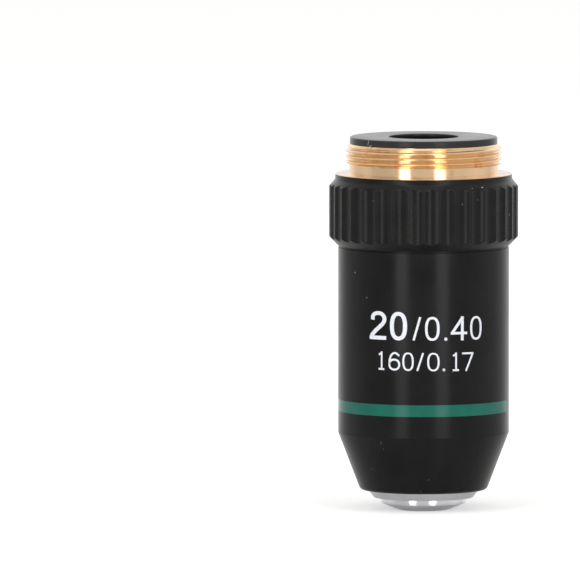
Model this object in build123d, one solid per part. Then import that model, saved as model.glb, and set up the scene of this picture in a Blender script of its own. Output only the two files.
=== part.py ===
from build123d import *
from math import ceil, cos, pi, sin, sqrt
import os

# A spring-loaded 20x microscope objective, in millimetres. +Z points up the tube to the
# nosepiece it screws into, and the origin is on the optical axis, at the mounting shoulder.
# The front of the object, as it is usually seen, faces -Y.

# Fits: radial unless they say otherwise
thread_gap = 0.02
slide_gap = 0.03
cell_gap = 0.02
lens_gap = 0.01
cement_gap = 0.02
tip_gap = 0.15
screw_gap = 0.04
nut_gap = 0.22

# Rear mounting thread and its relief, cut on the mount body
thread_r = 10.12
thread_lead = 0.6
rear_length = 3.86
relief_r = 9.55
relief_length = 1.25
rear_wall = 0.95
rear_bore_length = 7.86

# Rear stop ring
stop_ring_r = 9.5
stop_ring_thickness = 0.89
stop_ring_edge = 0.18
stop_ring_spigot_length = 1.6
stop_ring_wall = 1.0
aperture_r = 4.52
aperture_lip = 0.35

# Shoulder and fluted collar of the mount body
shoulder_edge = 0.1
neck_length = 0.67
upper_bevel_width = 0.78
upper_bevel_length = 0.93
collar_length = 6.53
lower_bevel = 1.15
flute_count = 36
flute_depth = 0.29
land_width = 0.25

# Seam under the collar, and the spigot that the outer barrel screws onto
seam_width = 0.18
seam_depth = 0.2
spigot_wall = 1.18
spigot_length = 5.6

# Outer barrel
barrel_wall = 1.4
barrel_edge = 0.12
barrel_length = 23.94
cone_length = 7.43
tip_wall = 0.79
tip_fillet = 0.6
tip_lip_length = 1.9
socket_runout = 0.8

# Green band, filled into a shallow groove of the outer barrel. Its gap is seen from
# above, in degrees from the front round to the right.
band_height = 1.5
band_above_cone = 2.83
band_depth = 0.06
band_gap_start = 76.8
band_gap_angle = 16.0

# Guide sleeve, its lock nut and its guide screw
sleeve_wall = 1.12
sleeve_space = 0.6
sleeve_clearance = 1.0
sleeve_lip_length = 1.2
nut_thickness = 1.6
nut_flat_depth = 0.5
screw_r = 1.0
screw_height = 6.0
dog_r = 0.6
dog_reach = 0.7
screw_slot_width = 0.35
screw_slot_depth = 0.4

# Lens barrel, which slides in the guide sleeve and ends in the bright nose
lens_barrel_wall = 1.45
bearing_length = 19.0
stem_step = 0.65
nose_stand = 0.97
nose_bevel_width = 0.76
nose_bevel_length = 1.0
rear_rim = 4.8
cell_socket_length = 3.8
travel = 2.0

# Return spring, and the ring that it pushes against
spring_inset = 0.85
spring_wire_r = 0.28
spring_turns = 4.5
wire_sides = 8
bends_per_turn = 20
retainer_depth = 2.86
retainer_thickness = 2.5
retainer_rim = 1.4

# Front lens cell, and the lens that is spun into it
front_lens_r = 2.3
front_lens_edge = 0.35
front_lens_thickness = 2.3
front_lip_width = 0.25
front_lip_thickness = 0.15
front_seat_length = 0.6
cell_face_width = 1.23
cell_cone_length = 0.86
cell_flange_width = 0.48
cell_flange_length = 0.74
cell_inner_step = 1.29
cell_spigot_wall = 1.38
cell_spigot_length = 2.7

# Lens cells, spacers and the ring that clamps them, from the nose up
lower_spacer_length = 2.0
upper_spacer_length = 8.0
lens_ring_length = 1.6
spacer_wall = 1.0
rear_cell_wall = 1.67
cell_ledge_width = 0.5
cell_ledge_length = 0.6
middle_cell_rim = 0.5
rear_cell_rim = 0.68
spanner_slot_width = 1.2
spanner_slot_depth = 0.7

# Cemented doublets: a flint below with a flat front, and a crown above
middle_lens_r = 3.9
middle_flint_thickness = 0.9
middle_crown_edge = 0.71
middle_inner_radius = 7.5
middle_outer_radius = 10.0
rear_lens_r = 4.7
rear_flint_thickness = 1.0
rear_crown_edge = 0.71
rear_inner_radius = 10.0
rear_outer_radius = 14.0


def sagitta(radius, half_width):
    return radius - sqrt(radius**2 - half_width**2)


# Radii from the glass outwards: the tubes are built round the rear lens
stack_bore_r = rear_lens_r + lens_gap + rear_cell_wall + cell_gap
stack_r = stack_bore_r - cell_gap
bearing_r = stack_bore_r + lens_barrel_wall
stem_r = bearing_r - stem_step
guide_bore_r = bearing_r + slide_gap
sleeve_r = guide_bore_r + sleeve_wall
tapped_r = sleeve_r + thread_gap
spigot_r = tapped_r + spigot_wall
socket_r = spigot_r + thread_gap
nut_r = socket_r - nut_gap
cavity_r = sleeve_r + sleeve_space
barrel_r = cavity_r + barrel_wall
tip_bore_r = stem_r + tip_gap
tip_r = tip_bore_r + tip_wall
collar_r = barrel_r + lower_bevel
shoulder_r = collar_r - upper_bevel_width
rear_bore_r = relief_r - rear_wall
spring_mean_r = bearing_r - spring_inset
retainer_bore_r = spring_mean_r - retainer_rim

# Radii of the front lens cell, from its lens outwards
front_opening_r = front_lens_r - front_lip_width
cell_face_r = front_opening_r + cell_face_width
cell_bore_r = front_lens_r + lens_gap + cell_inner_step
cell_spigot_r = cell_bore_r + cell_spigot_wall
cell_tapped_r = cell_spigot_r + thread_gap
cell_flange_r = cell_spigot_r + cell_flange_width

# Thicknesses of the crown lenses on the axis, and lengths of the cells round them
middle_crown_thickness = (
    middle_crown_edge
    + sagitta(middle_inner_radius, middle_lens_r)
    + sagitta(middle_outer_radius, middle_lens_r)
)
rear_crown_thickness = (
    rear_crown_edge
    + sagitta(rear_inner_radius, rear_lens_r)
    + sagitta(rear_outer_radius, rear_lens_r)
)
middle_pair_length = middle_flint_thickness + cement_gap + middle_crown_thickness
rear_pair_length = rear_flint_thickness + cement_gap + rear_crown_thickness
middle_cell_length = cell_ledge_length + middle_pair_length + middle_cell_rim
rear_cell_length = cell_ledge_length + rear_pair_length + rear_cell_rim

# Heights of the housing, from the shoulder both ways
rear_z = rear_length
relief_top_z = relief_length
bevel_top_z = -neck_length
collar_top_z = bevel_top_z - upper_bevel_length
collar_bottom_z = collar_top_z - collar_length
seam_top_z = collar_bottom_z - lower_bevel
barrel_top_z = seam_top_z - seam_width
spigot_end_z = barrel_top_z - spigot_length
cone_top_z = barrel_top_z - barrel_length
tip_z = cone_top_z - cone_length
band_bottom_z = cone_top_z + band_above_cone
bore_step_z = rear_z - rear_bore_length
retainer_top_z = rear_z - retainer_depth
retainer_bottom_z = retainer_top_z - retainer_thickness

# Heights of the nose at rest, from the tip of the barrel down to the face, and then up
# through the cells and spacers to the top of the lens barrel
nose_z = tip_z - nose_stand
cell_cone_z = nose_z - cell_flange_length
face_z = cell_cone_z - cell_cone_length
stack_z = nose_z + cell_socket_length
middle_cell_z = stack_z + lower_spacer_length
middle_flint_z = middle_cell_z + cell_ledge_length
middle_crown_z = middle_flint_z + middle_flint_thickness + cement_gap
upper_spacer_z = middle_cell_z + middle_cell_length
rear_cell_z = upper_spacer_z + upper_spacer_length
rear_flint_z = rear_cell_z + cell_ledge_length
rear_crown_z = rear_flint_z + rear_flint_thickness + cement_gap
lens_ring_z = rear_cell_z + rear_cell_length
bearing_top_z = lens_ring_z + lens_ring_length + rear_rim
bearing_bottom_z = bearing_top_z - bearing_length
screw_z = bearing_bottom_z + screw_height
sleeve_top_z = bore_step_z - sleeve_clearance
sleeve_bottom_z = bearing_bottom_z - sleeve_lip_length


def turned(*corners):
    # a ring turned from its section, given as radius and height pairs
    section = make_face(Polyline([(r, 0, z) for r, z in corners], close=True))
    return revolve(section, axis=Axis.Z)


def ring(inner_r, outer_r, bottom_z, top_z):
    return turned((inner_r, bottom_z), (outer_r, bottom_z), (outer_r, top_z), (inner_r, top_z))


def rear_cutter(radius, start_r, z):
    # a round cutter that points to the back, from start_r outwards through every wall
    plane = Plane(origin=(0, start_r, z), z_dir=(0, 1, 0))
    return plane * Cylinder(radius, collar_r, align=(Align.CENTER, Align.CENTER, Align.MIN))


def spanner_slots(outer_r, top_z):
    # two slots across a ring's upper face, for a pin spanner
    return Pos(0, 0, top_z) * Box(2 * outer_r, spanner_slot_width, 2 * spanner_slot_depth)


def flute_cutters():
    # scallops round the collar, whose radius follows from their depth and the lands left
    half_angle = pi / flute_count - land_width / (2 * collar_r)
    chord = collar_r * sin(half_angle)
    floor_r = collar_r - flute_depth
    rise = collar_r * cos(half_angle) - floor_r
    radius = (rise**2 + chord**2) / (2 * rise)
    length = bevel_top_z - seam_top_z
    cutter = Pos(floor_r + radius, 0, (bevel_top_z + seam_top_z) / 2) * Cylinder(radius, length)
    step = 360 / flute_count
    return [Rot(0, 0, step * (i + 0.5) - 90) * cutter for i in range(flute_count)]


def mount_body():
    blank = turned(
        (rear_bore_r, rear_z),
        (thread_r - thread_lead, rear_z),
        (thread_r, rear_z - thread_lead),
        (thread_r, relief_top_z),
        (relief_r, relief_top_z),
        (relief_r, 0),
        (shoulder_r - shoulder_edge, 0),
        (shoulder_r, -shoulder_edge),
        (shoulder_r, bevel_top_z),
        (collar_r, collar_top_z),
        (collar_r, collar_bottom_z),
        (barrel_r, seam_top_z),
        (barrel_r - seam_depth, seam_top_z),
        (barrel_r - seam_depth, barrel_top_z),
        (spigot_r, barrel_top_z),
        (spigot_r, spigot_end_z),
        (tapped_r, spigot_end_z),
        (tapped_r, bore_step_z),
        (rear_bore_r, bore_step_z),
    )
    return blank - flute_cutters()


def rear_stop_ring():
    top_z = rear_z + stop_ring_thickness
    spigot_r_outer = rear_bore_r - thread_gap
    spigot_r_inner = spigot_r_outer - stop_ring_wall
    spigot_z = rear_z - stop_ring_spigot_length
    blank = turned(
        (aperture_r, top_z),
        (stop_ring_r, top_z),
        (stop_ring_r, rear_z),
        (spigot_r_outer, rear_z),
        (spigot_r_outer, spigot_z),
        (spigot_r_inner, spigot_z),
        (spigot_r_inner, rear_z),
        (aperture_r + stop_ring_thickness - aperture_lip, rear_z),
        (aperture_r, top_z - aperture_lip),
    )
    rim = blank.edges().filter_by(GeomType.CIRCLE).group_by(Axis.Z)[-1].sort_by(SortBy.RADIUS)[-1]
    return chamfer(rim, stop_ring_edge)


def spring_retainer_ring():
    body = ring(retainer_bore_r, rear_bore_r - thread_gap, retainer_bottom_z, retainer_top_z)
    return body - spanner_slots(rear_bore_r, retainer_top_z)


def colour_band():
    middle = Pos(barrel_r - band_depth / 2, band_bottom_z + band_height / 2)
    section = Plane.XZ * middle * Rectangle(band_depth, band_height)
    strip = revolve(section, axis=Axis.Z, revolution_arc=360 - band_gap_angle)
    return Rot(0, 0, band_gap_start + band_gap_angle - 90) * strip


def outer_barrel():
    socket_z = spigot_end_z - nut_thickness - socket_runout
    blank = turned(
        (socket_r, barrel_top_z),
        (barrel_r - barrel_edge, barrel_top_z),
        (barrel_r, barrel_top_z - barrel_edge),
        (barrel_r, cone_top_z),
        (tip_r, tip_z),
        (tip_bore_r, tip_z),
        (tip_bore_r, tip_z + tip_lip_length),
        (cavity_r, cone_top_z),
        (cavity_r, socket_z),
        (socket_r, socket_z),
    )
    tip = blank.edges().filter_by(GeomType.CIRCLE).group_by(Axis.Z)[0].sort_by(SortBy.RADIUS)[-1]
    return fillet(tip, tip_fillet) - colour_band()


def guide_sleeve():
    body = turned(
        (guide_bore_r, sleeve_top_z),
        (sleeve_r, sleeve_top_z),
        (sleeve_r, sleeve_bottom_z),
        (stem_r + slide_gap, sleeve_bottom_z),
        (stem_r + slide_gap, bearing_bottom_z),
        (guide_bore_r, bearing_bottom_z),
    )
    return body - rear_cutter(screw_r + thread_gap, stem_r, screw_z)


def lock_nut():
    body = ring(tapped_r, nut_r, spigot_end_z - nut_thickness, spigot_end_z)
    flat = Box(2 * nut_r, nut_r, nut_thickness + 2 * thread_gap)
    offset = nut_r - nut_flat_depth + nut_r / 2
    middle_z = spigot_end_z - nut_thickness / 2
    return body - [Pos(0, side * offset, middle_z) * flat for side in (-1, 1)]


def guide_screw():
    axis_plane = Plane(origin=(0, 0, screw_z), z_dir=(0, 1, 0))
    from_axis = (Align.CENTER, Align.CENTER, Align.MIN)
    thread_start = guide_bore_r
    thread = Pos(0, 0, thread_start) * Cylinder(screw_r, sleeve_r - thread_start, align=from_axis)
    dog_tip = bearing_r - dog_reach
    dog = Pos(0, 0, dog_tip) * Cylinder(dog_r, thread_start - dog_tip, align=from_axis)
    slot = Pos(0, 0, sleeve_r) * Box(2 * screw_r, screw_slot_width, 2 * screw_slot_depth)
    return axis_plane * (thread + dog - slot)


def lens_barrel():
    body = turned(
        (stack_bore_r, bearing_top_z),
        (bearing_r, bearing_top_z),
        (bearing_r, bearing_bottom_z),
        (stem_r, bearing_bottom_z),
        (stem_r, nose_z + nose_bevel_length),
        (stem_r - nose_bevel_width, nose_z),
        (cell_tapped_r, nose_z),
        (cell_tapped_r, stack_z),
        (stack_bore_r, stack_z),
    )
    # the slot that the guide screw's dog runs in, as long as the travel
    slot_r = dog_r + screw_gap
    floor_r = bearing_r - dog_reach - screw_gap
    upper = rear_cutter(slot_r, floor_r, screw_z)
    lower = rear_cutter(slot_r, floor_r, screw_z - travel)
    middle = Pos(0, floor_r, screw_z - travel / 2) * Box(
        2 * slot_r, collar_r, travel, align=(Align.CENTER, Align.MIN, Align.CENTER)
    )
    return body - (upper + middle + lower)


def return_spring():
    # wound from short straight lengths, one wire too long at both ends and ground off flat
    spring_length = retainer_bottom_z - bearing_top_z
    pitch = spring_length / spring_turns
    wound = spring_length + 4 * spring_wire_r
    start_z = bearing_top_z - 2 * spring_wire_r
    bends = ceil(bends_per_turn * wound / pitch)
    path = Polyline(
        [
            Vector(spring_mean_r, 0, start_z + pitch * i / bends_per_turn).rotate(
                Axis.Z, 360 * i / bends_per_turn
            )
            for i in range(bends + 1)
        ]
    )
    section = Plane(origin=path @ 0, z_dir=path % 0) * RegularPolygon(spring_wire_r, wire_sides)
    coil = sweep(section, path=path, transition=Transition.RIGHT)
    return coil & Pos(0, 0, bearing_top_z) * Cylinder(
        spring_mean_r + 2 * spring_wire_r,
        spring_length,
        align=(Align.CENTER, Align.CENTER, Align.MIN),
    )


def front_lens_cell():
    seat_z = face_z + front_lip_thickness
    seat_r = front_lens_r + lens_gap
    spigot_z = nose_z + cell_spigot_length
    return turned(
        (front_opening_r, face_z),
        (cell_face_r, face_z),
        (cell_flange_r, cell_cone_z),
        (cell_flange_r, nose_z),
        (cell_spigot_r, nose_z),
        (cell_spigot_r, spigot_z),
        (cell_bore_r, spigot_z),
        (cell_bore_r, seat_z + front_seat_length),
        (seat_r, seat_z + front_seat_length),
        (seat_r, seat_z),
        (front_opening_r, seat_z),
    )


def front_lens():
    # flat towards the specimen, almost a half ball behind
    flat_z = face_z + front_lip_thickness
    edge_z = flat_z + front_lens_edge
    top_z = flat_z + front_lens_thickness
    rise = front_lens_thickness - front_lens_edge
    dome_r = (rise**2 + front_lens_r**2) / (2 * rise)
    middle_r = front_lens_r * sin(pi / 4)
    middle_z = top_z - sagitta(dome_r, middle_r)
    outline = (
        Polyline((0, 0, top_z), (0, 0, flat_z), (front_lens_r, 0, flat_z), (front_lens_r, 0, edge_z))
        + ThreePointArc((front_lens_r, 0, edge_z), (middle_r, 0, middle_z), (0, 0, top_z))
    )
    return revolve(make_face(outline), axis=Axis.Z)


def lens_cell(lens_r, bottom_z, length):
    # a ring with a ledge under the glass
    bore_r = lens_r + lens_gap
    return turned(
        (lens_r - cell_ledge_width, bottom_z),
        (stack_r, bottom_z),
        (stack_r, bottom_z + length),
        (bore_r, bottom_z + length),
        (bore_r, bottom_z + cell_ledge_length),
        (lens_r - cell_ledge_width, bottom_z + cell_ledge_length),
    )


def flint_lens(lens_r, flat_z, thickness, inner_radius):
    # flat below, hollow above
    top_z = flat_z + thickness
    edge_z = top_z + sagitta(inner_radius, lens_r)
    middle_z = top_z + sagitta(inner_radius, lens_r / 2)
    outline = (
        Polyline((0, 0, top_z), (0, 0, flat_z), (lens_r, 0, flat_z), (lens_r, 0, edge_z))
        + ThreePointArc((lens_r, 0, edge_z), (lens_r / 2, 0, middle_z), (0, 0, top_z))
    )
    return revolve(make_face(outline), axis=Axis.Z)


def crown_lens(lens_r, bottom_z, thickness, inner_radius, outer_radius):
    # bulges both ways
    top_z = bottom_z + thickness
    half_r = lens_r / 2
    low_edge_z = bottom_z + sagitta(inner_radius, lens_r)
    high_edge_z = top_z - sagitta(outer_radius, lens_r)
    low_middle_z = bottom_z + sagitta(inner_radius, half_r)
    high_middle_z = top_z - sagitta(outer_radius, half_r)
    outline = (
        Line((0, 0, top_z), (0, 0, bottom_z))
        + ThreePointArc((0, 0, bottom_z), (half_r, 0, low_middle_z), (lens_r, 0, low_edge_z))
        + Line((lens_r, 0, low_edge_z), (lens_r, 0, high_edge_z))
        + ThreePointArc((lens_r, 0, high_edge_z), (half_r, 0, high_middle_z), (0, 0, top_z))
    )
    return revolve(make_face(outline), axis=Axis.Z)


def spacer(bottom_z, length):
    return ring(stack_r - spacer_wall, stack_r, bottom_z, bottom_z + length)


def lens_retaining_ring():
    top_z = lens_ring_z + lens_ring_length
    body = ring(stack_r - spacer_wall, stack_r, lens_ring_z, top_z)
    return body - spanner_slots(stack_r, top_z)


pieces = {
    "mount_body": mount_body(),
    "rear_stop_ring": rear_stop_ring(),
    "spring_retainer_ring": spring_retainer_ring(),
    "outer_barrel": outer_barrel(),
    "colour_band": colour_band(),
    "guide_sleeve": guide_sleeve(),
    "parfocal_lock_nut": lock_nut(),
    "guide_screw": guide_screw(),
    "return_spring": return_spring(),
    "lens_barrel": lens_barrel(),
    "front_lens_cell": front_lens_cell(),
    "front_lens": front_lens(),
    "lower_spacer": spacer(stack_z, lower_spacer_length),
    "middle_lens_cell": lens_cell(middle_lens_r, middle_cell_z, middle_cell_length),
    "middle_flint_lens": flint_lens(
        middle_lens_r, middle_flint_z, middle_flint_thickness, middle_inner_radius
    ),
    "middle_crown_lens": crown_lens(
        middle_lens_r,
        middle_crown_z,
        middle_crown_thickness,
        middle_inner_radius,
        middle_outer_radius,
    ),
    "upper_spacer": spacer(upper_spacer_z, upper_spacer_length),
    "rear_lens_cell": lens_cell(rear_lens_r, rear_cell_z, rear_cell_length),
    "rear_flint_lens": flint_lens(
        rear_lens_r, rear_flint_z, rear_flint_thickness, rear_inner_radius
    ),
    "rear_crown_lens": crown_lens(
        rear_lens_r, rear_crown_z, rear_crown_thickness, rear_inner_radius, rear_outer_radius
    ),
    "lens_retaining_ring": lens_retaining_ring(),
}

os.makedirs("parts", exist_ok=True)
for name, piece in pieces.items():
    export_step(piece, f"parts/{name}.step")
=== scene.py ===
import math

import bmesh
import bpy
from mathutils import Matrix, Vector


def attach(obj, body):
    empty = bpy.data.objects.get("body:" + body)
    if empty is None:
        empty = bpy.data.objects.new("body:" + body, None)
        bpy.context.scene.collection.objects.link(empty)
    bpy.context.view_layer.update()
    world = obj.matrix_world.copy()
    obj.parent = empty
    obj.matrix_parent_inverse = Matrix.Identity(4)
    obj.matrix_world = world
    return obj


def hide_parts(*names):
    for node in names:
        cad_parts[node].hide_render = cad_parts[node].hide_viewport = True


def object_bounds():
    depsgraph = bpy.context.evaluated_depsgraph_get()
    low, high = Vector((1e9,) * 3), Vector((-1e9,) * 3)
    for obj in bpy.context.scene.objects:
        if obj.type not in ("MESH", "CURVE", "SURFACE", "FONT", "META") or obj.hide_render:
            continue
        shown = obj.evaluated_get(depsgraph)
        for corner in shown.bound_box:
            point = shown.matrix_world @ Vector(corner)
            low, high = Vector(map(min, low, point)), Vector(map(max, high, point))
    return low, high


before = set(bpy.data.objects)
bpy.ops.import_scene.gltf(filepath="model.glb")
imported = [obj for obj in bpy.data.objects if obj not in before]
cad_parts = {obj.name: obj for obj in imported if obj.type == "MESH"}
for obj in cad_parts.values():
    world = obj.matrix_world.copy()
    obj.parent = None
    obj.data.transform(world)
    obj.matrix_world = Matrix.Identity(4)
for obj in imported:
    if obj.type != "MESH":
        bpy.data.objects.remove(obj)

# A 20x microscope objective that stands on its nose. Lengths in the dictionaries are in
# millimetres; +Z is up the tube, and the side with the numerals faces -Y.

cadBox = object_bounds()
mm = 0.001
print("frame loaded:", len(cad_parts), "solids")


def linearColour(hexColour):
    channels = [int(hexColour[i:i + 2], 16) / 255 for i in (1, 3, 5)]
    return [c / 12.92 if c <= 0.04045 else ((c + 0.055) / 1.055) ** 2.4 for c in channels] + [1]


def addNode(tree, kind, settings={}, links={}):
    node = tree.nodes.new(kind)
    for key, value in settings.items():
        if isinstance(key, int) or key in node.inputs:
            node.inputs[key].default_value = value
        else:
            setattr(node, key, value)
    for key, output in links.items():
        tree.links.new(output, node.inputs[key])
    return node


# camera, floor and light
view = {
    "distance": 3.0,  # metres from the axis
    "pixelsPerMm": 7.765,
    "pictureWidth": 580,
    "aimLeft": 17.2,  # the objective stands right of the middle of the picture
    "aimHeight": -15.1,
    "elevation": 4.65,
}

cameraData = bpy.data.cameras.new("camera")
cameraData.sensor_width = 36
cameraData.lens = view["distance"] / mm * view["pixelsPerMm"] * 36 / view["pictureWidth"]
cameraData.clip_start = 0.1
cameraData.clip_end = 50
camera = bpy.data.objects.new("camera", cameraData)
bpy.context.scene.collection.objects.link(camera)
elevation = math.radians(view["elevation"])
aim = Vector((-view["aimLeft"] * mm, 0, view["aimHeight"] * mm))
camera.location = (
    0,
    -view["distance"] * math.cos(elevation),
    aim.z + view["distance"] * math.sin(elevation),
)
camera.rotation_euler = (aim - camera.location).to_track_quat("-Z", "Y").to_euler()
bpy.context.scene.camera = camera
bpy.context.scene.view_settings.view_transform = "Standard"

studio = {
    "floorHalf": 4.0,  # metres
    "floorColour": "#F4F4F2",
    "floorGlow": 0.42,  # lifts the pale floor to white for the camera; the shadow stays
    "floorPolish": 1.5,  # index of its clear skin: seen low in metal, it mirrors the room
    # how bright polished metal sees the room, by degrees from the front to the right
    "room": [
        (0, 0.7), (-45, 0.63), (-56, 0.57), (-72, 0.55), (-83, 0.6), (-95, 0.8), (-105, 0.84),
        (-120, 0.76), (-130, 0.78), (-145, 1.1), (-160, 1.2), (-170, 1.1), (180, 0.95),
        (170, 1.1), (160, 1.2), (145, 1.2), (130, 0.85), (120, 0.83), (105, 0.9), (92, 0.95),
        (80, 0.88), (68, 0.8), (45, 0.76),
    ],
    # and by the sine of the height above the horizon, where the walls turn into the ceiling
    "ceiling": [(0.0, 0.82), (0.88, 0.82), (0.97, 0.5), (1.0, 0.5)],
    "wallTop": (0.3, 0.75),
    "fill": 0.7,  # what the room gives to paint
    "stripDistance": 0.6,
    "stripWidth": 0.17,
    "stripHeight": 3.2,
    "stripRadiance": 2.8,
    "stripAngles": (-29, 25.5),  # degrees from the front, as the two bright lines show
    "topForward": 0.1,
    "topHeight": 0.9,
    "topSize": 0.6,
    "topRadiance": 0.7,
}


def makeFloor():
    bm = bmesh.new()
    half = studio["floorHalf"]
    bmesh.ops.create_grid(bm, x_segments=1, y_segments=1, size=half)
    bmesh.ops.translate(bm, verts=bm.verts, vec=(0, 0, cadBox[0].z))
    mesh = bpy.data.meshes.new("floor")
    bm.to_mesh(mesh)
    bm.free()
    floor = bpy.data.objects.new("floor", mesh)
    bpy.context.scene.collection.objects.link(floor)

    material = bpy.data.materials.new("paleStudioFloor")
    material.use_nodes = True
    tree = material.node_tree
    tree.nodes.clear()
    path = addNode(tree, "ShaderNodeLightPath")
    paper = addNode(
        tree, "ShaderNodeBsdfDiffuse", {"Color": linearColour(studio["floorColour"])}
    )
    glowLevel = addNode(
        tree,
        "ShaderNodeMath",
        {"operation": "MULTIPLY", 1: studio["floorGlow"]},
        {0: path.outputs["Is Camera Ray"]},
    )
    glow = addNode(tree, "ShaderNodeEmission", links={"Strength": glowLevel.outputs[0]})
    lit = addNode(tree, "ShaderNodeAddShader", links={0: paper.outputs[0], 1: glow.outputs[0]})
    # what metal sees low over the floor is the room again, as in a polished table
    skin = addNode(tree, "ShaderNodeFresnel", {"IOR": studio["floorPolish"]})
    mirrored = addNode(
        tree,
        "ShaderNodeMath",
        {"operation": "MULTIPLY"},
        {0: path.outputs["Is Glossy Ray"], 1: skin.outputs[0]},
    )
    side = addNode(tree, "ShaderNodeNewGeometry")
    seeThrough = addNode(  # seen from below there is no floor, so the nose can be looked at
        tree,
        "ShaderNodeMath",
        {"operation": "MAXIMUM"},
        {0: side.outputs["Backfacing"], 1: mirrored.outputs[0]},
    )
    clear = addNode(tree, "ShaderNodeBsdfTransparent")
    oneSided = addNode(
        tree,
        "ShaderNodeMixShader",
        links={0: seeThrough.outputs[0], 1: lit.outputs[0], 2: clear.outputs[0]},
    )
    addNode(tree, "ShaderNodeOutputMaterial", links={"Surface": oneSided.outputs[0]})
    mesh.materials.append(material)


def setStops(ramp, stops):
    for i, (place, level) in enumerate(stops):
        stop = ramp.elements[i] if i < 2 else ramp.elements.new(place)
        stop.position = place
        stop.color = (level, level, level, 1)


def makeWorld():
    world = bpy.data.worlds.new("studio")
    bpy.context.scene.world = world
    world.use_nodes = True
    tree = world.node_tree
    tree.nodes.clear()
    path = addNode(tree, "ShaderNodeLightPath")
    direction = addNode(tree, "ShaderNodeTexCoord")
    axes = addNode(tree, "ShaderNodeSeparateXYZ", links={0: direction.outputs["Generated"]})
    turn = addNode(
        tree,
        "ShaderNodeMath",
        {"operation": "ARCTAN2"},
        {0: axes.outputs["X"], 1: axes.outputs["Y"]},
    )
    roundTheRoom = addNode(
        tree,
        "ShaderNodeMapRange",
        {"From Min": -math.pi, "From Max": math.pi},
        {"Value": turn.outputs[0]},
    )
    walls = addNode(tree, "ShaderNodeValToRGB", links={"Fac": roundTheRoom.outputs["Result"]})
    places = sorted((-degrees / 360 % 1, level) for degrees, level in studio["room"])
    setStops(walls.color_ramp, places + [(1.0, places[0][1])])
    ceiling = addNode(tree, "ShaderNodeValToRGB", links={"Fac": axes.outputs["Z"]})
    setStops(ceiling.color_ramp, studio["ceiling"])
    upwards = addNode(
        tree,
        "ShaderNodeMapRange",
        {
            "interpolation_type": "SMOOTHSTEP",
            "From Min": studio["wallTop"][0],
            "From Max": studio["wallTop"][1],
        },
        {"Value": axes.outputs["Z"]},
    )
    seen = addNode(
        tree,
        "ShaderNodeMix",
        {"data_type": "RGBA"},
        {0: upwards.outputs["Result"], 6: walls.outputs["Color"], 7: ceiling.outputs["Color"]},
    )
    reflects = addNode(
        tree,
        "ShaderNodeMath",
        {"operation": "MAXIMUM"},
        {0: path.outputs["Is Glossy Ray"], 1: path.outputs["Is Transmission Ray"]},
    )
    fill = addNode(tree, "ShaderNodeBackground", {"Strength": studio["fill"]})
    room = addNode(tree, "ShaderNodeBackground", links={"Color": seen.outputs[2]})
    white = addNode(tree, "ShaderNodeBackground", {"Color": (1, 1, 1, 1), "Strength": 1})
    lit = addNode(
        tree,
        "ShaderNodeMixShader",
        links={0: reflects.outputs[0], 1: fill.outputs[0], 2: room.outputs[0]},
    )
    shown = addNode(
        tree,
        "ShaderNodeMixShader",
        links={0: path.outputs["Is Camera Ray"], 1: lit.outputs[0], 2: white.outputs[0]},
    )
    addNode(tree, "ShaderNodeOutputWorld", links={"Surface": shown.outputs[0]})


def addSoftbox(name, place, aimPoint, width, height, radiance):
    lamp = bpy.data.lights.new(name, "AREA")
    lamp.shape = "RECTANGLE"
    lamp.size = width
    lamp.size_y = height
    lamp.energy = radiance * math.pi * width * height
    softbox = bpy.data.objects.new(name, lamp)
    softbox.location = place
    softbox.rotation_euler = (Vector(aimPoint) - Vector(place)).to_track_quat("-Z", "Y").to_euler()
    softbox.visible_camera = False
    bpy.context.scene.collection.objects.link(softbox)


makeFloor()
makeWorld()
for side, degrees in zip(("left", "right"), studio["stripAngles"]):
    turn = math.radians(degrees)
    place = Vector((math.sin(turn), -math.cos(turn), 0)) * studio["stripDistance"]
    addSoftbox(
        side + "Softbox",
        place,
        (0, 0, 0),
        studio["stripWidth"],
        studio["stripHeight"],
        studio["stripRadiance"],
    )
addSoftbox(
    "topSoftbox",
    (0, -studio["topForward"], studio["topHeight"]),
    (0, 0, 0),
    studio["topSize"],
    studio["topSize"],
    studio["topRadiance"],
)
print("camera, floor and light set")


# materials, each named for the real one and for how its surface was made
def startMaterial(name, shaderSettings):
    material = bpy.data.materials.new(name)
    material.use_nodes = True
    tree = material.node_tree
    tree.nodes.clear()
    shader = addNode(tree, "ShaderNodeBsdfPrincipled", shaderSettings)
    addNode(tree, "ShaderNodeOutputMaterial", links={"Surface": shader.outputs[0]})
    coords = addNode(tree, "ShaderNodeTexCoord").outputs["Object"]
    return material, tree, shader, coords


def layTones(tree, shader, coords, finish):
    # two tones and two glosses of one finish, in soft patches of a real size
    patches = addNode(
        tree,
        "ShaderNodeTexNoise",
        {"Scale": 1 / (finish["patchMm"] * mm), "Detail": 4.0, "Roughness": 0.55},
        {"Vector": coords},
    )
    low, high = finish.get("patchEdges", (0.3, 0.7))
    amount = addNode(
        tree,
        "ShaderNodeMapRange",
        {"From Min": low, "From Max": high},
        {"Value": patches.outputs["Fac"]},
    )
    tone = addNode(
        tree,
        "ShaderNodeMix",
        {
            "data_type": "RGBA",
            6: linearColour(finish["tones"][0]),
            7: linearColour(finish["tones"][1]),
        },
        {0: amount.outputs["Result"]},
    )
    gloss = addNode(
        tree,
        "ShaderNodeMapRange",
        {"To Min": finish["roughness"][0], "To Max": finish["roughness"][1]},
        {"Value": amount.outputs["Result"]},
    )
    tree.links.new(tone.outputs[2], shader.inputs["Base Color"])
    tree.links.new(gloss.outputs["Result"], shader.inputs["Roughness"])
    return tone.outputs[2]


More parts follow.
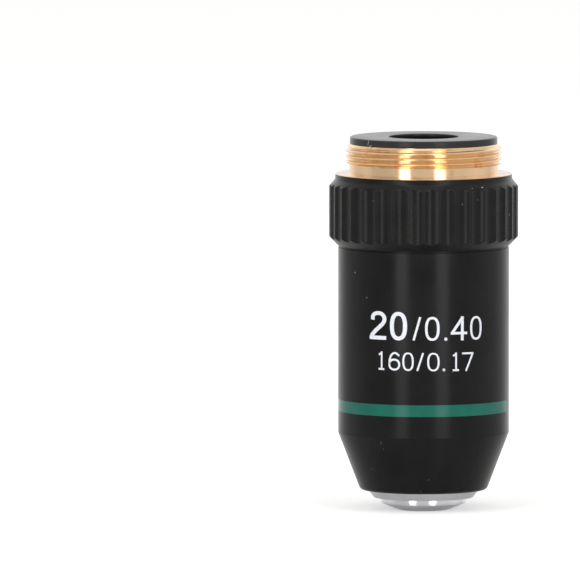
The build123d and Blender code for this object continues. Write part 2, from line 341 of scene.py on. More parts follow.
def roughenSurface(tree, shader, coords, finish):
    # the fine relief that the tool, the blasting or the pouring left
    relief = addNode(
        tree,
        "ShaderNodeTexNoise",
        {
            "Scale": 1 / (finish["grainMm"] * mm),
            "Detail": finish.get("grainDetail", 3.0),
            "Roughness": 0.55,
        },
        {"Vector": coords},
    )
    bump = addNode(
        tree,
        "ShaderNodeBump",
        {"Strength": 1.0, "Distance": finish["depthMm"] * mm},
        {"Height": relief.outputs["Fac"]},
    )
    tree.links.new(bump.outputs[0], shader.inputs["Normal"])


def latheCoords(tree, coords):
    # radius and height only, so that a pattern runs in rings, as a turning tool leaves them
    flat = addNode(
        tree, "ShaderNodeVectorMath", {"operation": "MULTIPLY", 1: (1, 1, 0)}, {0: coords}
    )
    radius = addNode(tree, "ShaderNodeVectorMath", {"operation": "LENGTH"}, {0: flat.outputs[0]})
    axes = addNode(tree, "ShaderNodeSeparateXYZ", links={0: coords})
    rings = addNode(
        tree,
        "ShaderNodeCombineXYZ",
        links={"X": radius.outputs["Value"], "Z": axes.outputs["Z"]},
    )
    return rings.outputs[0]


def settleDust(tree, shader, coords, colour, finish):
    # a pale fleck in some of the cells of a random pattern
    cells = addNode(
        tree, "ShaderNodeTexVoronoi", {"Scale": 1 / (finish["dustMm"] * mm)}, {"Vector": coords}
    )
    size = finish["fleckMm"] / finish["dustMm"]
    near = addNode(
        tree,
        "ShaderNodeMapRange",
        {"From Min": 0.5 * size, "From Max": size, "To Min": 1.0, "To Max": 0.0},
        {"Value": cells.outputs["Distance"]},
    )
    chosen = addNode(
        tree,
        "ShaderNodeMath",
        {"operation": "GREATER_THAN", 1: finish["dustless"]},
        {0: cells.outputs["Color"]},
    )
    fleck = addNode(
        tree,
        "ShaderNodeMath",
        {"operation": "MULTIPLY"},
        {0: near.outputs[0], 1: chosen.outputs[0]},
    )
    dusty = addNode(
        tree,
        "ShaderNodeMix",
        {"data_type": "RGBA", 7: linearColour(finish["dust"])},
        {0: fleck.outputs[0], 6: colour},
    )
    tree.links.new(dusty.outputs[2], shader.inputs["Base Color"])
    return dusty.outputs[2]


def wearMarks(tree, shader, coords, colour, finish, marks):
    # small stretched spots where the black is rubbed thin, each at its own place
    for centre, angles, halfSizes, strength in marks:
        placed = addNode(
            tree,
            "ShaderNodeMapping",
            {
                "vector_type": "TEXTURE",
                "Location": [c * mm for c in centre],
                "Rotation": [math.radians(a) for a in angles],
                "Scale": [s * mm for s in halfSizes],
            },
            {"Vector": coords},
        )
        ball = addNode(
            tree, "ShaderNodeTexGradient", {"gradient_type": "SPHERICAL"}, {0: placed.outputs[0]}
        )
        rubbed = addNode(
            tree,
            "ShaderNodeMapRange",
            {"From Max": 0.5, "To Max": strength},
            {"Value": ball.outputs["Fac"]},
        )
        worn = addNode(
            tree,
            "ShaderNodeMix",
            {"data_type": "RGBA", 7: linearColour(finish["rubbed"])},
            {0: rubbed.outputs[0], 6: colour},
        )
        colour = worn.outputs[2]
    tree.links.new(colour, shader.inputs["Base Color"])


def makeBlackAnodised(name, tones, roughness, marks):
    # bead-blasted aluminium, anodised and dyed black: a dead black under a thin clear skin,
    # so the studio shows as soft lines and the sides turn pale where they are seen edge on
    finish = {
        "tones": tones,
        "roughness": roughness,
        "patchMm": 5.0,
        "grainMm": 0.14,  # glass beads leave 0.05 mm pits; drawn coarser, so that they show
        "depthMm": 0.0007,
        "dust": "#77736E",
        "dustMm": 2.6,
        "dustless": 0.72,  # how many of the cells stay clean
        "fleckMm": 0.11,
        "rubbed": "#B9B7B2",
        "sheen": 0.16,  # the blasted skin gives back less than half of what bare glass would
    }
    material, tree, shader, coords = startMaterial(
        name, {"IOR": 1.5, "Specular IOR Level": finish["sheen"]}
    )
    colour = layTones(tree, shader, coords, finish)
    colour = settleDust(tree, shader, coords, colour, finish)
    wearMarks(tree, shader, coords, colour, finish, marks)
    roughenSurface(tree, shader, coords, finish)
    return material


def makeBlackenedBrass(name, roughness, marks):
    # brass with a black oxide bath over it: deep black with a thin sheen, browner in patches
    finish = {
        "tones": ("#131213", "#1C1B1A"),
        "roughness": roughness,
        "patchMm": 4.0,
        "grainMm": 0.14,  # the bath leaves a bloom far finer than this; drawn coarser
        "depthMm": 0.0006,
        "dust": "#77736E",
        "dustMm": 2.4,
        "dustless": 0.72,
        "fleckMm": 0.1,
        "rubbed": "#C6C0B6",
        "sheen": 0.17,
    }
    material, tree, shader, coords = startMaterial(
        name, {"IOR": 1.5, "Specular IOR Level": finish["sheen"]}
    )
    colour = layTones(tree, shader, coords, finish)
    colour = settleDust(tree, shader, coords, colour, finish)
    wearMarks(tree, shader, coords, colour, finish, marks)
    roughenSurface(tree, shader, coords, finish)
    return material


def makeBareBrass():
    # free-cutting brass straight from the lathe and polished: warm gold, with fine rings,
    # redder where the turns of the thread mirror one another
    finish = {
        "tones": ("#EECBA2", "#D9AB77"),
        "roughness": (0.12, 0.2),
        "patchMm": 1.6,
        "patchEdges": (0.55, 0.75),  # mostly clean, with a little tarnish
        "grainMm": 0.15,  # the tool feeds 0.05 mm a turn; drawn coarser, so that it shows
        "grainDetail": 1.0,
        "depthMm": 0.0004,
    }
    material, tree, shader, coords = startMaterial("turnedBrass", {"Metallic": 1.0})
    layTones(tree, shader, coords, finish)
    roughenSurface(tree, shader, latheCoords(tree, coords), finish)
    return material


def makePlainBrass():
    # the same metal inside, unpolished and a little dull from the machine's oil
    finish = {
        "tones": ("#C9A066", "#8F6B3C"),
        "roughness": (0.28, 0.42),
        "patchMm": 2.5,
        "grainMm": 0.08,
        "grainDetail": 1.0,
        "depthMm": 0.002,
    }
    material, tree, shader, coords = startMaterial("machinedBrass", {"Metallic": 1.0})
    layTones(tree, shader, coords, finish)
    roughenSurface(tree, shader, latheCoords(tree, coords), finish)
    return material


def makeGreenEnamel():
    # baked enamel run into a shallow groove: an even green with a soft gloss
    finish = {
        "tones": ("#126D5D", "#0F6454"),
        "roughness": (0.13, 0.19),
        "patchMm": 3.0,
        "grainMm": 0.5,  # the slight orange peel of a baked finish
        "grainDetail": 2.0,
        "depthMm": 0.0012,
        "sheen": 0.27,
    }
    material, tree, shader, coords = startMaterial(
        "bakedGreenEnamel", {"IOR": 1.5, "Specular IOR Level": finish["sheen"]}
    )
    layTones(tree, shader, coords, finish)
    roughenSurface(tree, shader, coords, finish)
    return material


def makeSatinNickel():
    # turned brass under satin nickel plate: a cool pale metal with fine turned rings
    finish = {
        "tones": ("#E2E2E6", "#D9D9DD"),
        "roughness": (0.12, 0.18),
        "patchMm": 2.0,
        "grainMm": 0.15,  # feed marks of 0.05 mm under the plate; drawn coarser
        "grainDetail": 1.0,
        "depthMm": 0.0003,
    }
    material, tree, shader, coords = startMaterial("satinNickelPlate", {"Metallic": 1.0})
    layTones(tree, shader, coords, finish)
    roughenSurface(tree, shader, latheCoords(tree, coords), finish)
    return material


def makeSteel():
    # drawn and hardened steel: a darker bright metal with streaks
    finish = {
        "tones": ("#A9A9A6", "#7D7D7B"),
        "roughness": (0.22, 0.35),
        "patchMm": 0.3,
        "grainMm": 0.3,
        "depthMm": 0.001,
    }
    material, tree, shader, coords = startMaterial("drawnSteel", {"Metallic": 1.0})
    layTones(tree, shader, coords, finish)
    roughenSurface(tree, shader, coords, finish)
    return material


def makeLensGlass(name, ior, tint, bloom):
    # polished optical glass with a single anti-reflection coat, whose reflection is coloured
    finish = {"filmMm": 1.5, "haze": 0.03}  # a trace of film on the polish
    material, tree, shader, coords = startMaterial(
        name,
        {
            "Base Color": linearColour(tint),
            "IOR": ior,
            "Transmission Weight": 1.0,
            "Specular Tint": linearColour(bloom),
        },
    )
    film = addNode(
        tree,
        "ShaderNodeTexNoise",
        {"Scale": 1 / (finish["filmMm"] * mm), "Detail": 3.0},
        {"Vector": coords},
    )
    haze = addNode(
        tree,
        "ShaderNodeMapRange",
        {"From Min": 0.3, "From Max": 0.7, "To Max": finish["haze"]},
        {"Value": film.outputs["Fac"]},
    )
    tree.links.new(haze.outputs["Result"], shader.inputs["Roughness"])
    return material


def makeWhiteInk():
    # screen-printed epoxy ink: matt white, slightly cool, thinner in small places
    finish = {
        "tones": ("#F2F4FB", "#DFE3EE"),
        "roughness": (0.45, 0.6),
        "patchMm": 0.25,
        "patchEdges": (0.45, 0.75),
        "grainMm": 0.25,  # the mesh of the screen is 0.1 mm; drawn coarser
        "depthMm": 0.003,
    }
    material, tree, shader, coords = startMaterial("screenPrintedWhiteInk", {"IOR": 1.48})
    layTones(tree, shader, coords, finish)
    roughenSurface(tree, shader, coords, finish)
    return material


def onWall(degreesRight, radius, height):
    # a point on a round wall, its angle taken from the front towards the right
    turn = math.radians(degreesRight)
    return (radius * math.sin(turn), -radius * math.cos(turn), height)


# marks that the photograph shows: centre, turn about the axes, half sizes, strength
ringScuffs = [
    (onWall(-48.5, 9.5, 4.36), (0, 8, -48.5), (0.05, 0.3, 0.5), 1.0),
    (onWall(-46.3, 9.5, 3.98), (0, 66, -46.3), (0.05, 0.3, 0.34), 0.9),
]
barrelMarks = [
    (onWall(-30.6, 10.74, -34.1), (0, 14, -30.6), (0.06, 0.3, 0.34), 0.22),
    (onWall(-29.6, 10.41, -34.9), (0, -30, -29.6), (0.08, 0.3, 0.12), 0.14),
    (onWall(-44.7, 9.39, -37.6), (0, 0, -44.7), (0.08, 0.3, 0.1), 0.2),
    (onWall(4.1, 8.91, -38.85), (0, 60, 4.1), (0.05, 0.3, 0.22), 0.14),
    (onWall(-53.0, 11, -12.3), (0, 0, -53.0), (0.11, 0.3, 0.11), 0.7),
    (onWall(-41.5, 11, -15.4), (0, 20, -41.5), (0.08, 0.3, 0.13), 0.45),
]
collarMarks = [
    (onWall(39.8, 11.75, -1.15), (0, 80, 39.8), (0.07, 0.5, 0.2), 0.9),
    (onWall(31.9, 11.75, -1.2), (0, 80, 31.9), (0.05, 0.5, 0.1), 0.5),
    (onWall(24.8, 12.0, -3.2), (0, 0, 24.8), (0.1, 0.5, 0.12), 0.3),
    (onWall(-32.9, 12.0, -2.8), (0, 0, -32.9), (0.09, 0.5, 0.09), 0.3),
    (onWall(67.4, 12.0, -5.0), (0, 0, 67.4), (0.1, 0.5, 0.1), 0.4),
    (onWall(-72.1, 12.0, -4.2), (0, 0, -72.1), (0.1, 0.5, 0.12), 0.35),
]

blackAnodised = makeBlackAnodised(
    "blackAnodisedBarrel", ("#111011", "#1A1919"), (0.2, 0.27), barrelMarks
)
# the ring's black is mixed paler than the barrel's as painted light: it stands in for the light on
# its top face and inside its hole; its patches and scuffs are its own
blackAnodisedRingPaintedPaler = makeBlackAnodised(
    "blackAnodisedRingPaintedPaler", ("#2D2C2D", "#353433"), (0.18, 0.24), ringScuffs
)
bareBrass = makeBareBrass()
plainBrass = makePlainBrass()
blackCollar = makeBlackenedBrass("blackenedBrassCollar", (0.22, 0.29), collarMarks)
blackCells = makeBlackenedBrass("blackenedBrassCells", (0.5, 0.65), [])
greenEnamel = makeGreenEnamel()
satinNickel = makeSatinNickel()
drawnSteel = makeSteel()
crownGlass = makeLensGlass("coatedCrownGlass", 1.517, "#F7FCF8", "#A493E8")
flintGlass = makeLensGlass("coatedFlintGlass", 1.62, "#FBF8EE", "#B9A0E0")
whiteInk = makeWhiteInk()

slotMaterials = {
    "bare_brass": bareBrass,
    "plain_brass": plainBrass,
    "black_anodised": blackAnodised,
    "green_enamel": greenEnamel,
    "satin_chrome": satinNickel,
    "blackened_brass": blackCells,
    "steel": drawnSteel,
    "crown_glass": crownGlass,
    "flint_glass": flintGlass,
}
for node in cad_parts.values():
    for materialSlot in node.material_slots:
        materialSlot.material = slotMaterials[materialSlot.material.name.split(".")[0]]
print("materials made:", len(bpy.data.materials))


# turned pieces
def sectionLine(bm, corners, closed=True, segments=4):
    # a section in the XZ plane from (radius, height, rounding) corners
    points = [Vector((corner[0], 0, corner[1])) for corner in corners]
    verts = [bm.verts.new(point) for point in points]
    pairs = list(zip(verts, verts[1:]))
    if closed:
        pairs.append((verts[-1], verts[0]))
    for pair in pairs:
        bm.edges.new(pair)
    for i, corner in enumerate(corners):
        rounding = corner[2] if len(corner) > 2 else 0
        if rounding:
            before, here, after = points[i - 1], points[i], points[(i + 1) % len(points)]
            turn = (here - before).angle(after - here)
            bmesh.ops.bevel(
                bm,
                geom=[verts[i]],
                offset=rounding * math.tan(turn / 2),
                offset_type="OFFSET",
                segments=segments,
                profile=0.5,
                affect="VERTICES",
                material=-1,
            )


def spinSection(bm, steps, startTurn=0.0):
    if startTurn:
        bmesh.ops.rotate(bm, verts=bm.verts, matrix=Matrix.Rotation(startTurn, 3, "Z"))
    bmesh.ops.spin(
        bm,
        geom=bm.verts[:] + bm.edges[:],
        cent=(0, 0, 0),
        axis=(0, 0, 1),
        dvec=(0, 0, 0),
        angle=math.tau,
        steps=steps,
        use_merge=True,
        use_normal_flip=False,
        use_duplicate=False,
    )
    bmesh.ops.remove_doubles(bm, verts=bm.verts, dist=1e-4)


def finishPiece(name, bm, body, materials, replaced=(), sharpDegrees=32):
    bmesh.ops.remove_doubles(bm, verts=bm.verts, dist=1e-4)
    bmesh.ops.recalc_face_normals(bm, faces=bm.faces)
    for face in bm.faces:
        face.smooth = True
    for edge in bm.edges:
        if len(edge.link_faces) == 2:
            edge.smooth = edge.calc_face_angle(0) < math.radians(sharpDegrees)
    bmesh.ops.scale(bm, verts=bm.verts, vec=(mm, mm, mm))
    mesh = bpy.data.meshes.new(name)
    bm.to_mesh(mesh)
    bm.free()
    for material in materials:
        mesh.materials.append(material)
    piece = bpy.data.objects.new(name, mesh)
    bpy.context.scene.collection.objects.link(piece)
    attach(piece, body)
    if replaced:
        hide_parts(*replaced)
    print("piece", name, len(mesh.polygons), "faces")


# mount body: mounting thread, shoulder and fluted collar, one piece of brass
thread = {
    "crestRadius": 10.12,
    "pitch": 25.4 / 36,
    "top": 3.86,
    "bottom": 1.25,
    "lead": 0.6,
    "crestOnLeft": 2.265,  # height of a crest at the left edge of the photograph
    "reliefRadius": 9.55,
    # the 55 degree form, in pitches: height of the sharp triangle, depth of the thread
    "formHeight": 0.960491,
    "formDepth": 0.640327,
    "rounding": 0.18,  # crests and roots are worn rounder than the standard form
    "columns": 240,
}
collar = {
    "boreRadius": 8.6,
    "innerRadius": 9.02,
    "boreStep": -4.0,
    "shoulderRadius": 11.37,
    "neckEnd": -0.67,
    "radius": 12.15,
    "top": -1.6,
    "bottom": -8.13,
    "seamTop": -9.28,
    "seamRadius": 10.8,
    "barrelTop": -9.46,
    "barrelRadius": 11.0,
    "spigotRadius": 10.2,
    "spigotEnd": -15.06,
    "flutes": 36,
    "fluteDepth": 0.29,
    "land": 0.25,
    "edgeSoftness": 0.07,
    "columnsPerFlute": 20,
    "gathering": 1.5,  # how closely the columns stand at the lands, where the curve is tight
    "flatInset": 0.5,  # width of the flat ring that joins the shoulder to the relief
    "shoulderEdge": 0.08,
    "neckCove": 0.6,
    "collarEdge": 0.12,
    "seamEdge": 0.04,
}


def softMin(a, b, softness):
    overlap = max(softness - abs(a - b), 0) / softness
    return min(a, b) - overlap * overlap * softness / 4


def makeThreadWall():
    pitch, crest = thread["pitch"], thread["crestRadius"]
    height = thread["formHeight"] * pitch
    depth = thread["formDepth"] * pitch
    rounding = thread["rounding"] * pitch
    tip = crest + height / 6
    root = crest - depth - height / 6
    firstCrest = thread["crestOnLeft"] - pitch / 2
    while firstCrest + pitch > thread["bottom"] - pitch:
        firstCrest -= pitch
    corners = []
    z = firstCrest
    while z < thread["top"] + 2 * pitch:
        corners += [(root, z - pitch / 2, rounding), (tip, z, rounding)]
        z += pitch
    corners[0] = corners[0][:2]
    corners[-1] = corners[-1][:2]
    bm = bmesh.new()
    sectionLine(bm, corners, closed=False, segments=4)
    flanks = [e for e in bm.edges if e.calc_length() > 0.3 * pitch]
    bmesh.ops.subdivide_edges(bm, edges=flanks, cuts=2)
    bmesh.ops.spin(
        bm,
        geom=bm.verts[:] + bm.edges[:],
        cent=(0, 0, 0),
        axis=(0, 0, 1),
        dvec=(0, 0, pitch / thread["columns"]),
        angle=math.tau,
        steps=thread["columns"],
        use_merge=False,
        use_normal_flip=False,
        use_duplicate=False,
    )
    bmesh.ops.remove_doubles(bm, verts=bm.verts, dist=1e-3)
    for vert in bm.verts:  # the lead at the end of the thread
        radius = vert.co.to_2d().length
        limit = crest - thread["lead"] + max(thread["top"] - vert.co.z, 0)
        if radius > limit:
            vert.co.x *= limit / radius
            vert.co.y *= limit / radius
    for height, up in ((thread["top"], 1), (thread["bottom"], -1)):
        bmesh.ops.bisect_plane(
            bm,
            geom=bm.verts[:] + bm.edges[:] + bm.faces[:],
            plane_co=(0, 0, height),
            plane_no=(0, 0, up),
            clear_outer=True,
            clear_inner=False,
        )
    return bm


def openEdges(bm, height):
    return [
        e for e in bm.edges
        if len(e.link_faces) == 1 and all(abs(v.co.z - height) < 1e-3 for v in e.verts)
    ]


def extrudeRing(bm, edges, radius, height):
    out = bmesh.ops.extrude_edge_only(bm, edges=edges)["geom"]
    for vert in (g for g in out if isinstance(g, bmesh.types.BMVert)):
        scale = radius / vert.co.to_2d().length
        vert.co = (vert.co.x * scale, vert.co.y * scale, height)
    return [g for g in out if isinstance(g, bmesh.types.BMEdge)]


def makeMountBody():
    bm = makeThreadWall()
    relief = thread["reliefRadius"]
    ring = extrudeRing(bm, openEdges(bm, thread["bottom"]), relief, thread["bottom"])
    extrudeRing(bm, ring, relief, 0)

    section = bmesh.new()
    sectionLine(
        section,
        [
            (relief + collar["flatInset"], 0),
            (collar["shoulderRadius"], 0, collar["shoulderEdge"]),
            (collar["shoulderRadius"], collar["neckEnd"], collar["neckCove"]),
            (collar["radius"], collar["top"], collar["collarEdge"]),
            (collar["radius"], collar["bottom"], collar["collarEdge"]),
            (collar["barrelRadius"], collar["seamTop"], collar["seamEdge"]),
            (collar["seamRadius"], collar["seamTop"]),
            (collar["seamRadius"], collar["barrelTop"]),
            (collar["spigotRadius"], collar["barrelTop"]),
            (collar["spigotRadius"], collar["spigotEnd"]),
            (collar["innerRadius"], collar["spigotEnd"]),
            (collar["innerRadius"], collar["boreStep"]),
            (collar["boreRadius"], collar["boreStep"]),
            (collar["boreRadius"], thread["top"]),
        ],
        closed=False,
    )
    bevels = [
        e for e in section.edges
        if min(v.co.x for v in e.verts) > collar["barrelRadius"] - 0.1
        and abs(e.verts[0].co.x - e.verts[1].co.x) > 0.4
        and max(v.co.z for v in e.verts) < -0.2
    ]
    bmesh.ops.subdivide_edges(section, edges=bevels, cuts=20)
    flutes, perFlute = collar["flutes"], collar["columnsPerFlute"]
    spinSection(section, flutes * perFlute)

    pitchAngle = math.tau / flutes
    halfAngle = pitchAngle / 2 - collar["land"] / (2 * collar["radius"])
    floorRadius = collar["radius"] - collar["fluteDepth"]
    chord = collar["radius"] * math.sin(halfAngle)
    rise = collar["radius"] * math.cos(halfAngle) - floorRadius
    cutter = (rise**2 + chord**2) / (2 * rise)
    centre = floorRadius + cutter
    for vert in section.verts:
        radius = vert.co.to_2d().length
        angle = math.atan2(vert.co.y, vert.co.x)
        share = angle / pitchAngle - round(angle / pitchAngle)
        share = math.copysign(abs(2 * share) ** collar["gathering"] / 2, share)
        angle = (round(angle / pitchAngle) + share) * pitchAngle
        if radius > collar["barrelRadius"] - 0.05 and vert.co.z < -0.2:
            fromFlute = pitchAngle / 2 - abs(share) * pitchAngle
            inside = cutter**2 - (centre * math.sin(fromFlute)) ** 2
            if inside > 0:
                wall = centre * math.cos(fromFlute) - math.sqrt(inside)
                radius = softMin(radius, wall, collar["edgeSoftness"])
        vert.co.x, vert.co.y = radius * math.cos(angle), radius * math.sin(angle)
    scratchMesh = bpy.data.meshes.new("collarPart")
    section.to_mesh(scratchMesh)
    section.free()
    bm.from_mesh(scratchMesh)
    bpy.data.meshes.remove(scratchMesh)

    for height in (0, thread["top"]):
        bmesh.ops.triangle_fill(
            bm, edges=openEdges(bm, height), normal=(0, 0, 1), use_beauty=True, use_dissolve=False
        )
    bmesh.ops.recalc_face_normals(bm, faces=bm.faces)
    for face in bm.faces:
        middle = face.calc_center_median()
        outside = middle.to_2d().length > collar["boreRadius"] + 0.01
        face.material_index = 0 if middle.z > -0.05 and outside else 1
    finishPiece(
        "mountBody", bm, "housing", [bareBrass, blackCollar], ["mount_body"], 40
    )


# rear stop ring: the black ring with the round hole
stopRing = {
    "radius": 9.5,
    "bottom": 3.86,
    "top": 4.75,
    "edge": 0.2,
    "apertureRadius": 4.52,
    "apertureLip": 0.35,
    "spigotRadius": 8.58,
    "spigotWall": 1.0,
    "spigotEnd": 2.26,
    "spigotEdge": 0.1,
    "apertureEdge": 0.12,
    "lipEdge": 0.03,
    "seatEdge": 0.06,
    "columns": 240,
}


def makeStopRing():
    s = stopRing
    sink = s["top"] - s["bottom"] - s["apertureLip"]
    bm = bmesh.new()
    sectionLine(
        bm,
        [
            (s["apertureRadius"], s["top"], s["apertureEdge"]),
            (s["radius"], s["top"], s["edge"]),
            (s["radius"], s["bottom"], s["seatEdge"]),
            (s["spigotRadius"], s["bottom"]),
            (s["spigotRadius"], s["spigotEnd"], s["spigotEdge"]),
            (s["spigotRadius"] - s["spigotWall"], s["spigotEnd"]),
            (s["spigotRadius"] - s["spigotWall"], s["bottom"]),
            (s["apertureRadius"] + sink, s["bottom"]),
            (s["apertureRadius"], s["top"] - s["apertureLip"], s["lipEdge"]),
        ],
    )
    spinSection(bm, s["columns"])
    finishPiece(
        "rearStopRing", bm, "housing", [blackAnodisedRingPaintedPaler], ["rear_stop_ring"]
    )


# outer barrel: the black sleeve with the cone, and the groove that the green band fills
barrel = {
    "socketRadius": 10.22,
    "radius": 11.0,
    "top": -9.46,
    "coneTop": -33.4,
    "tipRadius": 8.14,
    "tip": -40.83,
    "tipBore": 7.35,
    "tipLip": 1.9,
    "cavityRadius": 9.6,
    "socketEnd": -17.46,
    "bandTop": -29.07,
    "bandBottom": -30.57,
    "bandDepth": 0.06,
    "topEdge": 0.12,
    "coneEdge": 0.25,
    "tipEdge": 0.6,
    "boreEdge": 0.05,
    "bandGap": (76.8, 92.8),  # degrees from the front to the right
    "columns": 360,
}


def makeBarrel():
    b = barrel
    bm = bmesh.new()
    sectionLine(
        bm,
        [
            (b["socketRadius"], b["top"]),
            (b["radius"], b["top"], b["topEdge"]),
            (b["radius"], b["bandTop"]),
            (b["radius"], b["bandBottom"]),
            (b["radius"], b["coneTop"], b["coneEdge"]),
            (b["tipRadius"], b["tip"], b["tipEdge"]),
            (b["tipBore"], b["tip"], b["boreEdge"]),
            (b["tipBore"], b["tip"] + b["tipLip"]),
            (b["cavityRadius"], b["coneTop"]),
            (b["cavityRadius"], b["socketEnd"]),
            (b["socketRadius"], b["socketEnd"]),
        ],
        segments=6,
    )
    start = math.radians(b["bandGap"][0] - math.floor(b["bandGap"][0]) - 1)
    spinSection(bm, b["columns"], start)
    gapStart, gapEnd = b["bandGap"]
    middle = (b["bandTop"] + b["bandBottom"]) / 2
    groove = []
    for face in bm.faces:
        point = face.calc_center_median()
        angle = math.degrees(math.atan2(point.x, -point.y))
        if abs(point.z - middle) < 0.1 and point.to_2d().length > b["radius"] - 0.1:
            if not gapStart < angle < gapEnd:
                groove.append(face)
    deep = bmesh.ops.extrude_face_region(bm, geom=groove)["geom"]
    for vert in (g for g in deep if isinstance(g, bmesh.types.BMVert)):
        scale = (b["radius"] - b["bandDepth"]) / b["radius"]
        vert.co.x *= scale
        vert.co.y *= scale
    bmesh.ops.delete(bm, geom=groove, context="FACES_ONLY")
    finishPiece(
        "outerBarrel", bm, "housing", [blackAnodised], ["outer_barrel"], 25
    )


# front cell: the bright stepped cone that holds the front lens
frontCell = {
    "openingRadius": 2.05,
    "faceRadius": 3.28,
    "face": -43.4,
    "flangeRadius": 5.46,
    "coneTop": -42.54,
    "seat": -41.8,
    "spigotRadius": 4.98,
    "spigotEnd": -39.1,
    "boreRadius": 3.6,
    "lensRadius": 2.31,
    "lip": 0.15,
    "lensSeat": 0.6,
    "openingEdge": 0.03,
    "edge": 0.05,
    "spigotEdge": 0.1,
    "columns": 180,
}


def makeFrontCell():
    c = frontCell
    shelf = c["face"] + c["lip"] + c["lensSeat"]
    bm = bmesh.new()
    sectionLine(
        bm,
        [
            (c["openingRadius"], c["face"], c["openingEdge"]),
            (c["faceRadius"], c["face"], c["edge"]),
            (c["flangeRadius"], c["coneTop"], c["edge"]),
            (c["flangeRadius"], c["seat"], c["edge"]),
            (c["spigotRadius"], c["seat"]),
            (c["spigotRadius"], c["spigotEnd"], c["spigotEdge"]),
            (c["boreRadius"], c["spigotEnd"]),
            (c["boreRadius"], shelf),
            (c["lensRadius"], shelf),
            (c["lensRadius"], c["face"] + c["lip"]),
            (c["openingRadius"], c["face"] + c["lip"]),
        ],
    )
    spinSection(bm, c["columns"])
    finishPiece(
        "frontLensCell", bm, "nose", [satinNickel], ["front_lens_cell"]
    )


makeMountBody()
makeStopRing()
makeBarrel()
makeFrontCell()


# numerals, screen printed in white ink and wrapped round the barrel
def oval(left, bottom, right, top, squareness=2.4, count=16):
    points = []
    for i in range(count):
        turn = math.tau * i / count
        x, y = math.cos(turn), math.sin(turn)
        x = math.copysign(abs(x) ** (2 / squareness), x)
        y = math.copysign(abs(y) ** (2 / squareness), y)
        points.append(
            ((left + right + (right - left) * x) / 2, (bottom + top + (top - bottom) * y) / 2)
        )
    return points


numerals = {
    "inkHeight": 0.03,
    "longestFlat": 0.6,  # a longer straight stroke is divided before it goes round the barrel
    # each numeral's strokes, along the middle of the stroke, in a box one wide and one high
    "strokes": {
        "0": [("loop", oval(0, 0, 1, 1))],
        "1": [
            ("line", [(0.55, -0.06), (0.55, 1.06)]),
            ("line", [(0.6, 0.98), (-0.1, 0.86)]),
            ("line", [(-0.15, 0), (1.15, 0)]),
        ],
        "2": [
            (
                "curve",
                [
                    (0.1, 0.72), (0.14, 0.9), (0.55, 1.0), (0.88, 0.94), (1.02, 0.77),
                    (0.94, 0.62), (0.7, 0.47), (0.36, 0.3), (-0.02, 0.07),
                ],
            ),
            ("line", [(-0.16, 0), (1.15, 0)]),
        ],
        "4": [
            ("line", [(0.74, -0.06), (0.74, 1.06)]),
            ("line", [(0.78, 1.04), (0, 0.28)]),
            ("line", [(-0.08, 0.28), (1.1, 0.28)]),
        ],
        "6": [
            ("loop", oval(0, 0, 1, 0.6, 2.2)),
            ("curve", [(0, 0.32), (0.06, 0.66), (0.3, 0.93), (0.6, 1), (1.0, 0.84)]),
        ],
        "7": [
            ("line", [(-0.08, 1), (1.08, 1)]),
            ("line", [(1.0, 1.0), (0.3, -0.06)]),
        ],
        "/": [("line", [(0, -0.04), (1, 1.04)])],
        ".": [("loop", oval(0, 0, 1, 1, 3, 8))],
    },
    # each numeral: its left edge round the barrel from the front, width, height, the height
    # of a level stroke, and how much wider than that an upright stroke is
    "rows": [
        {
            "foot": -20.74,
            "tilt": -0.005,
            "glyphs": [
                ("2", -7.42, 2.45, 3.66, 0.49, 1.12),
                ("0", -4.42, 2.3, 3.66, 0.49, 1.12),
                ("/", -1.43, 1.15, 3.08, 0.29, 1.0),
                ("0", 0.19, 1.88, 3.08, 0.31, 1.1),
                (".", 2.69, 0.4, 0.4, 0.21, 1.0),
                ("4", 3.52, 2.34, 3.08, 0.33, 1.18),
                ("0", 6.32, 1.84, 3.04, 0.28, 1.1),
            ],
        },
        {
            "foot": -24.66,
            "tilt": -0.011,
            "glyphs": [
                ("1", -6.06, 0.85, 2.38, 0.24, 0.95),
                ("6", -4.63, 1.6, 2.38, 0.25, 1.05),
                ("0", -2.74, 1.49, 2.38, 0.22, 1.15),
                ("/", -0.93, 1.0, 2.38, 0.24, 1.0),
                ("0", 0.47, 1.6, 2.38, 0.22, 1.15),
                (".", 2.46, 0.36, 0.36, 0.18, 1.0),
                ("1", 3.81, 0.88, 2.38, 0.24, 0.95),
                ("7", 5.13, 1.7, 2.38, 0.24, 1.0),
            ],
        },
    ],
}


def inkSection(strokeWidth):
    section = bpy.data.curves.new("inkSection", "CURVE")
    section.dimensions = "2D"
    spline = section.splines.new("POLY")
    spline.points.add(3)
    half, ink = strokeWidth / 2, numerals["inkHeight"]
    corners = ((-half, -ink), (half, -ink), (half, ink), (-half, ink))
    for point, (x, y) in zip(spline.points, corners):
        point.co = (x, y, 0, 1)
    spline.use_cyclic_u = True
    return bpy.data.objects.new("inkSection", section)


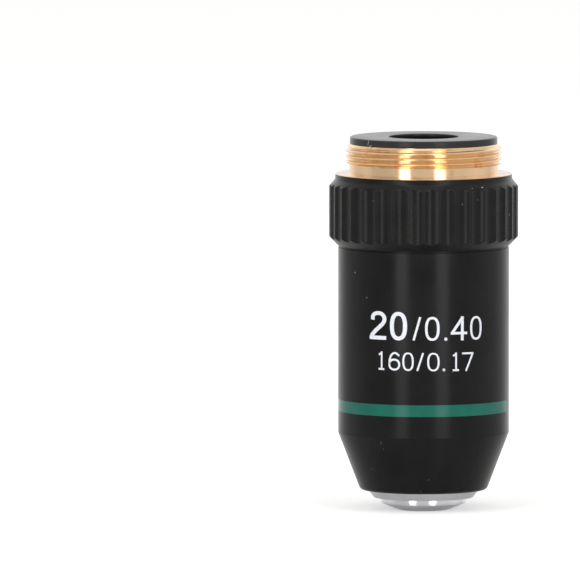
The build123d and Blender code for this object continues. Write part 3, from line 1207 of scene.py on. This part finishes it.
def printStroke(bm, kind, points, section):
    curve = bpy.data.curves.new("stroke", "CURVE")
    curve.dimensions = "3D"
    curve.twist_mode = "Z_UP"
    curve.bevel_mode = "OBJECT"
    curve.bevel_object = section
    curve.use_fill_caps = True
    curve.resolution_u = 6
    spline = curve.splines.new("BEZIER")
    spline.bezier_points.add(len(points) - 1)
    for bezier, (x, y) in zip(spline.bezier_points, points):
        bezier.co = (x, y, 0)
        bezier.handle_left_type = bezier.handle_right_type = "VECTOR" if kind == "line" else "AUTO"
    spline.use_cyclic_u = kind == "loop"
    stroke = bpy.data.objects.new("stroke", curve)
    bpy.context.scene.collection.objects.link(stroke)
    bpy.context.view_layer.update()
    evaluated = stroke.evaluated_get(bpy.context.evaluated_depsgraph_get())
    mesh = bpy.data.meshes.new_from_object(evaluated)
    bm.from_mesh(mesh)
    bpy.data.objects.remove(stroke)
    bpy.data.curves.remove(curve)
    bpy.data.meshes.remove(mesh)


def makeNumerals():
    whole = bmesh.new()
    for row in numerals["rows"]:
        for glyph, left, width, tall, stroke, widening in row["glyphs"]:
            section = inkSection(stroke)
            bpy.context.scene.collection.objects.link(section)
            narrow = width / widening  # drawn narrow with an even stroke, then widened
            bm = bmesh.new()
            for kind, path in numerals["strokes"][glyph]:
                points = [
                    (
                        stroke / 2 + x * (narrow - stroke),
                        row["foot"] + stroke / 2 + y * (tall - stroke),
                    )
                    for x, y in path
                ]
                printStroke(bm, kind, points, section)
            sectionCurve = section.data
            bpy.data.objects.remove(section)
            bpy.data.curves.remove(sectionCurve)
            bmesh.ops.remove_doubles(bm, verts=bm.verts, dist=1e-4)
            long = [e for e in bm.edges if e.calc_length() > numerals["longestFlat"]]
            bmesh.ops.subdivide_edges(bm, edges=long, cuts=7, use_grid_fill=True)
            for vert in bm.verts:
                along = left + vert.co.x * widening
                turn = along / barrel["radius"]
                radius = barrel["radius"] + vert.co.z
                height = vert.co.y + row["tilt"] * along
                vert.co = (radius * math.sin(turn), -radius * math.cos(turn), height)
            part = bpy.data.meshes.new("glyph")
            bm.to_mesh(part)
            bm.free()
            whole.from_mesh(part)
            bpy.data.meshes.remove(part)
    finishPiece("numerals", whole, "housing", [whiteInk], sharpDegrees=40)


makeNumerals()
print("numerals printed")
